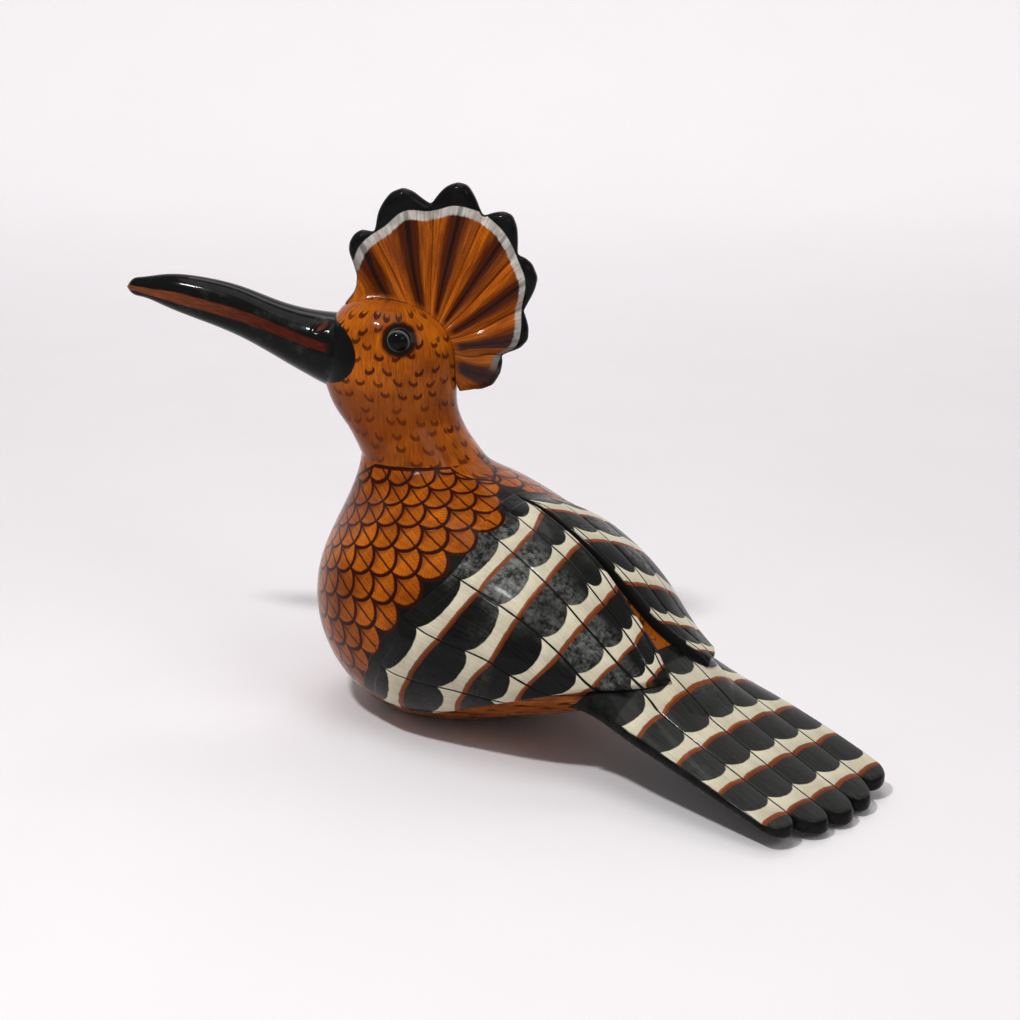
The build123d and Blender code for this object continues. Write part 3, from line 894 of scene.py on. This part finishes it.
def scale_feathers(p):
    """Overlapping rounded feathers. Gives the colour, 1 where the scales cover the body and how much dark
    line there is."""
    grow, side = p.field("grow", "side")

    def cell(row):
        odd = odd_row(p, row)
        index = p.math("ROUND", side / SCALE_WIDE - odd)
        across = side - (index + odd) * SCALE_WIDE
        down = grow - row * SCALE_ROW
        wide, long = across / SCALE_HALF, p.math("MAXIMUM", down, 0) / SCALE_LONG
        return index + odd, across, down, p.math("SQRT", wide * wide + long * long)

    first = p.math("CEIL", (grow - SCALE_LONG) / SCALE_ROW)
    one, two = cell(first), cell(first + 1)
    upper = p.math("LESS_THAN", one[3], 1)
    column, across, down, reach = (b + (a - b) * upper for a, b in zip(one, two))
    row = first + 1 - upper
    wobble = p.noise(420) - 0.5
    tip = p.ramp(down, -1, SCALE_LONG)
    outline = p.ramp(reach + wobble * 0.11, 0.80 - tip * 0.03, 0.885 - tip * 0.03)
    base_shadow = p.ramp(one[3], 1, 1.34, 1, 0) * (1 - upper)
    quill = p.inside(abs(across + wobble * 0.6), 0.34, 0.18) * p.inside(down, SCALE_LONG * 0.93, 0.3)
    barb_wave = p.math("SINE", (down * 5.2 - abs(across) * 3.4) + wobble * 3)
    barbs = p.ramp(barb_wave, 0.35, 0.95) * p.ramp(reach, 0.25, 0.6)
    ink = p.either(outline, quill * 0.9)
    colour = p.layers(
        p.shade(brushed_orange(p, down * 0.9, across), p.chance(row, column, 3) * 0.25 + 0.78),
        (barbs * 0.33, BROWN_MID), (base_shadow * 0.62, BROWN_MID),
        (p.ramp(reach, 0.72, 0.96) * 0.45, BROWN_MID), (ink, BROWN))
    limit = 0
    for factor in LAST_ROW:
        limit = column * SCALE_WIDE * limit + float(factor)
    return colour, p.math("LESS_THAN", row * SCALE_ROW, limit), ink


def commas(p, x, y, seed):
    """Short curved brush strokes, convex downwards, scattered on a loose grid."""
    wide, tall = 5, 4                # of the grid, mm
    row = p.math("FLOOR", y / tall)
    odd = odd_row(p, row)
    column = p.math("FLOOR", x / wide - odd)
    jitter_x, jitter_y, lean = (p.chance(column, row, seed + k) - 0.5 for k in range(3))
    local_x = x - (column + odd + 0.5) * wide - jitter_x * 2.1
    local_y = y - (row + 0.5) * tall - jitter_y * 1.7
    bent_y = local_y + lean * 1.1 * local_x
    ragged = (p.noise(900, 2, 0.6) - 0.5) * 0.5
    outer = p.math("SQRT", local_x * local_x + (bent_y - 0.2) * (bent_y - 0.2) * 1.3)
    inner = p.math("SQRT", local_x * local_x * 0.9 + (bent_y - 0.95) * (bent_y - 0.95) * 1.2)
    stroke = p.inside(outer + ragged, 1.42, 0.22) * p.ramp(inner + ragged * 0.5, 0.66, 1.02)
    present = p.math("GREATER_THAN", p.chance(column, row, seed + 4), 0.10)
    return stroke * (p.chance(column, row, seed + 5) * 0.25 + 0.78) * present


def strokes_on_orange(p, along, across, light, seed):
    """Orange ground with short dark curved strokes, as on the head and the belly."""
    return p.layers(
        brushed_orange(p, along, across, light), (p.ramp(p.noise(95, 3), 0.52, 0.78) * 0.38, BROWN_MID),
        (commas(p, across, along, seed) * 0.92, BROWN))


def barred_feathers(p, last, sheen_and_wear, greyish):
    """Black lobes, cream and thin rust lines, one after another along each feather strip. last is the bar
    after which everything is black. The black carries a painted sheen: grey glare patches standing in for
    reflected light on the satin paint. Where sheen_and_wear is 1 there is more of that painted sheen and less
    gloss; greyish lightens the black evenly. Gives the colour, the roughness and the weight of the gloss."""
    bar, strip, seam = p.field("bar", "strip", "seam")
    ragged = p.noise(300, 3, 0.6) - 0.5
    across = p.math("FRACT", strip) * 2 - 1
    bow = p.math("SQRT", p.math("MAXIMUM", 1 - across * across, 0))
    moved = bar + ragged * 0.05 + bow * 0.03
    part = p.math("FRACT", moved)
    lobe = p.inside(part, bow * 0.31 + 0.43, 0.014)
    rust = p.inside(abs(p.math("FRACT", moved + 0.5) - 0.5), 0.048, 0.014)
    tone = p.chance(p.math("FLOOR", moved), p.math("FLOOR", strip), 7)
    mottle = p.noise(340, 5, 0.62) * 0.55 + p.noise(900, 3, 0.6) * 0.45
    # Painted sheen: grey glare patches mixed into the black in place of reflected light.
    sheen = p.ramp(mottle, 0.36, 0.66) * p.ramp(p.noise(38) + tone * 0.10 + sheen_and_wear * 0.30, 0.56, 0.90)
    hairs = p.streaks(bar * 1.3, strip * 26, 3)
    # The black is mixed evenly towards a lighter grey-black by this amount; the tail gets the most of it.
    black = p.mix(greyish * 0.75, p.shade(BLACK, tone * 0.7 + 0.9), GREYISH_BLACK)
    black = p.shade(p.mix(sheen * (sheen_and_wear * 0.45 + 0.35), black, GREY), p.ramp(hairs, 0.3, 0.75, 0.75, 1.5))
    cream = p.shade(CREAM, p.ramp(hairs * 0.5 + p.noise(140, 3, 0.55) * 0.5, 0.34, 0.64, 0.80, 1.06))
    cream = p.mix(p.ramp(part, 0.62, 0.98) * 0.16, cream, RUST)
    colour = p.layers(
        cream, (lobe, black), (rust * 0.95, p.shade(RUST, tone * 0.6 + 0.8)),
        (p.ramp(bar, last, last + 0.06), black), (p.inside(seam + ragged * 0.14, 0.27, 0.10), BLACK))
    return colour, p.ramp(mottle, 0.3, 0.7, 0.20, 0.46), 0.7 - p.ramp(sheen_and_wear * lobe, 0, 1) * 0.4


def body_paint():
    p = Paint("body_scales")
    height, turn, past, below = p.field("height", "turn", "past", "neck")
    colour, scaled, ink = scale_feathers(p)
    first_lobes = p.inside(past, 9, 0.6) * p.ramp(turn, 0.86, 0.92)
    plain = p.mix(first_lobes, strokes_on_orange(p, height, p.field("round"), 0.78, 11), BLACK)
    neck = strokes_on_orange(p, height, p.field("neck_round"), 0.9, 31)
    back_line = p.ramp(turn, pi - 0.028, pi - 0.012) * p.inside(past, 1, 0.5)
    ragged = p.noise(500) - 0.5
    colour = p.layers(plain, (scaled, colour), (back_line, BROWN))
    colour = p.layers(neck, (p.ramp(below + ragged * 0.4, -0.2, 0.2), colour),
                      (p.inside(abs(below + ragged * 0.5), 0.6, 0.2), BROWN))
    surface = p.noise(160, 3) * 0.6 + ink * 0.25
    return p.finish(colour, p.ramp(p.noise(210), 0.3, 0.7, 0.24, 0.40), 0.7, 0.08, surface, 0.25)


# The black patch round the bill in side view: x, z and its half axes.
BILL_FACE = (-28.5, 109.9, 12.2, 10.0)


def head_paint():
    p = Paint("head_strokes")
    height, fore, eye = p.field("height", "fore", "eye")
    ragged = p.noise(420, 3, 0.6) - 0.5
    cloud = p.noise(60, 3)
    # Painted shade under the bill: the throat and lower head darken towards the bottom and towards the bill,
    # in cloudy patches.
    throat_shade = p.ramp(height, 109, 90) * p.ramp(cloud + p.ramp(fore, 12, -20) * 0.3, 0.38, 0.72)
    x, z, half_x, half_z = BILL_FACE
    off_x, off_z = (fore - x) / half_x, (height - z) / half_z
    face = p.math("SQRT", off_x * off_x + off_z * off_z) + ragged * 0.03
    # Painted light: the grey lid ring round the eye is brighter on its side towards the bill.
    lit = p.ramp(p.field("eye_x"), 2.5, -3.5) * 0.5 + 0.25
    colour = p.layers(
        strokes_on_orange(p, height, p.field("round"), 1, 31), (throat_shade * 0.62, BROWN_MID),
        (p.inside(face, 1, 0.018), BLACK), (p.inside(eye + ragged * 0.8, 5.8, 0.7), BROWN),
        (p.inside(eye + ragged * 0.2, 4.8, 0.35), BLACK), (p.band(eye, 3.75, 0.32, 0.28) * lit, EYE_RING))
    return p.finish(colour, p.ramp(p.noise(210), 0.3, 0.7, 0.22, 0.38), 0.8, 0.06, p.noise(150, 3), 0.22)


def bill_paint():
    p = Paint("bill_lacquer")
    gape, along = p.field("gape", "along")
    ragged = p.noise(300, 3, 0.55) - 0.5
    half = p.ramp(along, -88, -70, 0.8, 1.75) * p.ramp(along, -54, -30, 1, 0.78)
    stripe = p.inside(abs(gape) + ragged * 0.5, half, 0.28) * p.ramp(along, -24.5, -28)
    streak = p.streaks(along * 0.22, gape * 2.6, 4)
    red = p.shade(p.mix(p.ramp(along, -40, -84), BILL_RED_DEEP, BILL_RED),
                  p.ramp(streak, 0.3, 0.7, 0.55, 1.35))
    sheen_and_wear = p.noise(140, 4, 0.6)
    colour = p.layers(BLACK, (p.ramp(sheen_and_wear, 0.5, 0.8) * 0.12, GREY), (stripe * 0.85, red),
                      (p.inside(p.field("nostril"), 0.95, 0.16) * 0.8, NOSTRIL_RED))
    return p.finish(colour, p.ramp(sheen_and_wear, 0.3, 0.7, 0.14, 0.24), 1, 0.04, p.noise(190, 3), 0.12)


def eye_paint():
    p = Paint("eye_bead")
    cloud = p.noise(900)
    black = p.shade(BLACK, p.ramp(cloud, 0.3, 0.7, 0.6, 1.1))
    colour = p.mix(p.band(p.field("lean"), 1.02, 0.09, 0.08) * 0.5, black, GREY)
    return p.finish(colour, 0.05, 1, 0.02, cloud, 0.05, 0.0001)


def crest_paint():
    p = Paint("crest_plumes")
    feather, reach, band, edge, root = p.field("feather", "reach", "band", "edge", "root")
    across = p.math("FRACT", feather) * 2 - 1
    off = abs(across)
    streak = p.streaks(reach * 0.055, feather * 6.5, 3)
    fine = p.streaks(reach * 0.12, feather * 24, 3, 0.65)
    ragged, ragged_fine = streak - 0.5, fine - 0.5
    barb = p.math("SINE", (reach * 4.6 - off * 13) + ragged_fine * 3)
    lower = p.ramp(feather, 4.6, 6)
    halo = p.inside(off + ragged * 0.6 + ragged_fine * 0.2, 0.58, 0.15)
    stripe = p.inside(off + ragged * 0.45 + ragged_fine * 0.2, 0.38, 0.13)
    extra = p.band(across + ragged * 0.5, 0.72, 0.055, 0.04) * p.ramp(streak, 0.45, 0.62)
    quill = p.inside(off + ragged_fine * 0.08, 0.085, 0.05)
    dusk = p.band(across + ragged * 0.3, 0, 0.40, 0.10) * lower
    valley = p.ramp(off, 0.93, 0.985)
    soft = p.noise(260, 4, 0.6) - 0.5
    sheen_and_wear = p.noise(170, 3, 0.55)
    last_plume = p.inside(feather, 6.3, 0.12)
    wide = p.ramp(feather, 3.5, 5, -2.7, -1.9)
    in_band = p.ramp(band + soft * 1.1 + ragged_fine * 0.8, wide - 0.35, wide + 0.35) * last_plume
    # The white band on the first plume, nearest the forehead, is darkened as painted shade.
    white = p.layers(p.shade(OFF_WHITE, p.ramp(soft + fine - 0.5, -0.25, 0.25, 0.52, 1.02)),
                     (p.ramp(feather, 4.5, 6.3), WHITE_DULL),
                     (p.inside(feather, 0.42, 0.2) * 0.7, WHITE_IN_SHADE))
    tips = p.either(p.ramp(band + soft * 0.35, -0.12, 0.18) * last_plume,
                    p.inside(edge + soft * 0.3, 0.42, 0.14))
    colour = p.layers(
        ORANGE_DEEP, (p.ramp(fine * 0.55 + streak * 0.45, 0.36, 0.64), ORANGE),
        (p.ramp(barb, 0.2, 0.95) * p.ramp(off, 0.2, 0.5) * 0.16, BROWN_MID), (lower * 0.35, CREST_DULL),
        (halo * 0.75, CREST_HALO), (stripe * 0.88, CREST_STRIPE), (extra * 0.7, BROWN_MID),
        (quill * 0.9, CREST_QUILL), (dusk * 0.6, CREST_DUSK), (valley * 0.7, BROWN),
        (p.ramp(root, 2.4, 0) * 0.55, brushed_orange(p, reach, feather * 5, 0.95)),
        (in_band * 0.93, white), (quill * in_band * 0.55, CHARCOAL),
        (tips, p.shade(BLACK, p.ramp(sheen_and_wear, 0.3, 0.7, 0.8, 1.5))))
    height = fine * 0.35 + quill * 0.35 - valley * 0.5
    return p.finish(colour, p.ramp(sheen_and_wear, 0.3, 0.7, 0.20, 0.36), 0.75, 0.06, height, 0.30, 0.00025)


def wood_grain(p):
    """Pale soft carving wood: long rings with fine pores."""
    grain = p.node("Mapping", {"Vector": p.place, "Scale": (300, 300, 40)}).outputs[0]
    rings = p.noise(1, 4, 0.6, grain, 1.2)
    return p.layers(WOOD_DEEP, (p.ramp(rings, 0.32, 0.68), WOOD),
                    (p.ramp(p.noise(5, 2, 0.7, grain), 0.60, 0.75) * 0.45, WOOD_PORE))


def wing_paint():
    p = Paint("wing_feathers")
    scales, scaled, ink = scale_feathers(p)
    # A band over the middle strips gets the most painted sheen, and its black lobes the least gloss.
    sheen_and_wear = p.inside(abs(p.field("strip") - 2.2), 0.9, 0.5)
    barred, rough, gloss = barred_feathers(p, 5.35, sheen_and_wear, 0.1)
    slit_edge = p.inside(p.field("slit") + p.noise(300) * 0.6, 1.2, 0.25)
    bare = p.field("inner")
    colour = p.layers(barred, (slit_edge, BLACK), (scaled, scales), (p.ramp(bare, 0.3, 0.7), wood_grain(p)))
    height = p.noise(160, 3) * 0.6 + ink * scaled * 0.25
    rough = rough * (1 - bare * 0.2) + bare * 0.25
    return p.finish(colour, rough, gloss * (1 - bare * 0.9), 0.09, height, 0.25)


def tail_paint():
    p = Paint("tail_feathers")
    colour, rough, gloss = barred_feathers(p, 4.08, 0.12, 0.9)
    soft = p.noise(260, 3) - 0.5
    rim, under, bar = p.field("rim", "under", "bar")
    covered = p.either(p.inside(rim + soft * 0.4, 0.55, 0.15), p.ramp(under, 0.3, 0.7),
                       p.inside(bar, 0.36, 0.03))
    black = p.shade(BLACK, p.ramp(p.noise(240, 4, 0.6), 0.3, 0.7, 0.7, 2))
    return p.finish(p.mix(covered, colour, black), rough, gloss, 0.09, p.noise(160, 3), 0.25)


def wood_paint():
    p = Paint("peg_wood")
    return p.finish(wood_grain(p), p.ramp(p.noise(700), 0.3, 0.7, 0.5, 0.72), 0, 0.1, p.noise(1500), 0.3,
                    0.0001)


# ---- The bird ----

body = body_piece(body_paint())
head = head_piece(head_paint())
bill_piece(bill_paint())
bead_paint = eye_paint()
eye_piece("eye_left", -1, bead_paint)
eye_piece("eye_right", 1, bead_paint)
crest_piece(crest_paint())
wing_pieces(wing_paint())
tail_piece(tail_paint())

WING_SOCKETS = ((12, 44, 27.4), (36, 38, 21.4))       # x, z and how near the middle each one ends
WING_SOCKET_R = 2.05
for socket_x, socket_z, inner_y in WING_SOCKETS:
    for side in (-1, 1):
        punch(body, (socket_x, side * 60, socket_z), (socket_x, side * inner_y, socket_z), WING_SOCKET_R)
CREST_SOCKETS = ((-1, 124.3), (11.5, 112.5))          # where each one meets the skin, in the head's own frame
CREST_SOCKET_R = 1.45
CREST_PULL = radians(52)
for socket_x, socket_z in CREST_SOCKETS:
    punch(head, *(turn_head(np.array([socket_x + reach * cos(CREST_PULL), 0,
                                      socket_z + reach * sin(CREST_PULL)])) for reach in (8, -9.6)),
          CREST_SOCKET_R)

wood = wood_paint()
pegs = ["neck_dowel", "bill_peg", "crest_peg_front", "crest_peg_rear", "tail_peg_left", "tail_peg_right"]
pegs += [f"wing_{side}_peg_{end}" for side in ("left", "right") for end in ("front", "rear")]
for name in pegs:
    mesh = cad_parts[name].data
    mesh.materials.clear()
    mesh.materials.append(wood)

# ---- Floor, light and camera ----

PAPER = (0.80, 0.775, 0.79)
PAPER_GLOW = (1.0, 0.965, 0.98)
FLOOR_HALF = 3.0          # metres from here on
FLOOR_FRONT, FLOOR_BACK = -2.6, 0.9
SWEEP_R = 0.7
LOOK_AT = Vector((0.0235, 0, 0.0655))
CAMERA_AZIMUTH = 42       # degrees round from the bird's left side, as all the azimuths below


def pale_paper():
    """Matt paper, a little self-lit towards the back so that the backdrop stays as pale as the floor."""
    p = Paint("pale_paper")
    colour = p.shade(PAPER, p.ramp(p.noise(14, 3), 0.3, 0.7, 0.985, 1))
    depth = p.node("SeparateXYZ", {0: p.place}).outputs["Y"]
    p.feed(p.shader, {"Emission Color": PAPER_GLOW, "Emission Strength": p.ramp(depth, 0.05, 1.3, 0, 0.45)})
    return p.finish(colour, 0.9, 0, 0.3, p.noise(900), 0.02, 0.0001)


def sweep_floor():
    """A pale floor that curves up into a backdrop behind the bird."""
    profile = [(FLOOR_FRONT, 0), (FLOOR_BACK, 0)]
    for turn in np.arange(1, 17) / 16 * pi / 2:
        profile.append((FLOOR_BACK + SWEEP_R * sin(turn), SWEEP_R - SWEEP_R * cos(turn)))
    profile.append((FLOOR_BACK + SWEEP_R, FLOOR_HALF))
    points = [(side, depth, height) for depth, height in profile for side in (-FLOOR_HALF, FLOOR_HALF)]
    mesh = bpy.data.meshes.new("paper_sweep")
    mesh.from_pydata(points, [], grid_faces(len(profile), 2))
    mesh.shade_smooth()
    mesh.materials.append(pale_paper())
    floor = new_object("paper_sweep", mesh)
    floor.rotation_euler[2] = radians(CAMERA_AZIMUTH)


def aimed(name, data, azimuth, elevation, distance):
    """A light or camera at a distance from the bird, aimed at it; angles in degrees."""
    a, e = radians(azimuth), radians(elevation)
    thing = new_object(name, data)
    thing.location = LOOK_AT + distance * Vector((sin(a) * cos(e), -cos(a) * cos(e), sin(e)))
    thing.rotation_euler = (LOOK_AT - thing.location).to_track_quat("-Z", "Y").to_euler()
    return thing


def area_light(name, azimuth, elevation, distance, size, power):
    data = bpy.data.lights.new(name, "AREA")
    data.shape = "RECTANGLE"
    data.size, data.size_y = size
    data.energy = power
    aimed(name, data, azimuth, elevation, distance)


sweep_floor()
area_light("window", 4, 58, 0.9, (0.10, 0.055), 4.5)
area_light("fill", 84, 35, 1.2, (0.5, 0.4), 1.8)
area_light("back", 215, 60, 1.1, (0.5, 0.3), 1.5)
area_light("top", 42, 84, 1.2, (0.7, 0.7), 3.4)

world = bpy.data.worlds.new("studio")
world.use_nodes = True
sky = world.node_tree.nodes["Background"].inputs
sky["Color"].default_value = (1.0, 0.985, 0.99, 1.0)
sky["Strength"].default_value = 0.27
scene = bpy.context.scene
scene.world = world
scene.view_settings.view_transform = "Standard"

camera_data = bpy.data.cameras.new("camera")
camera_data.sensor_width = 36
camera_data.lens = 82.35
scene.camera = aimed("camera", camera_data, CAMERA_AZIMUTH, 17, 0.7)
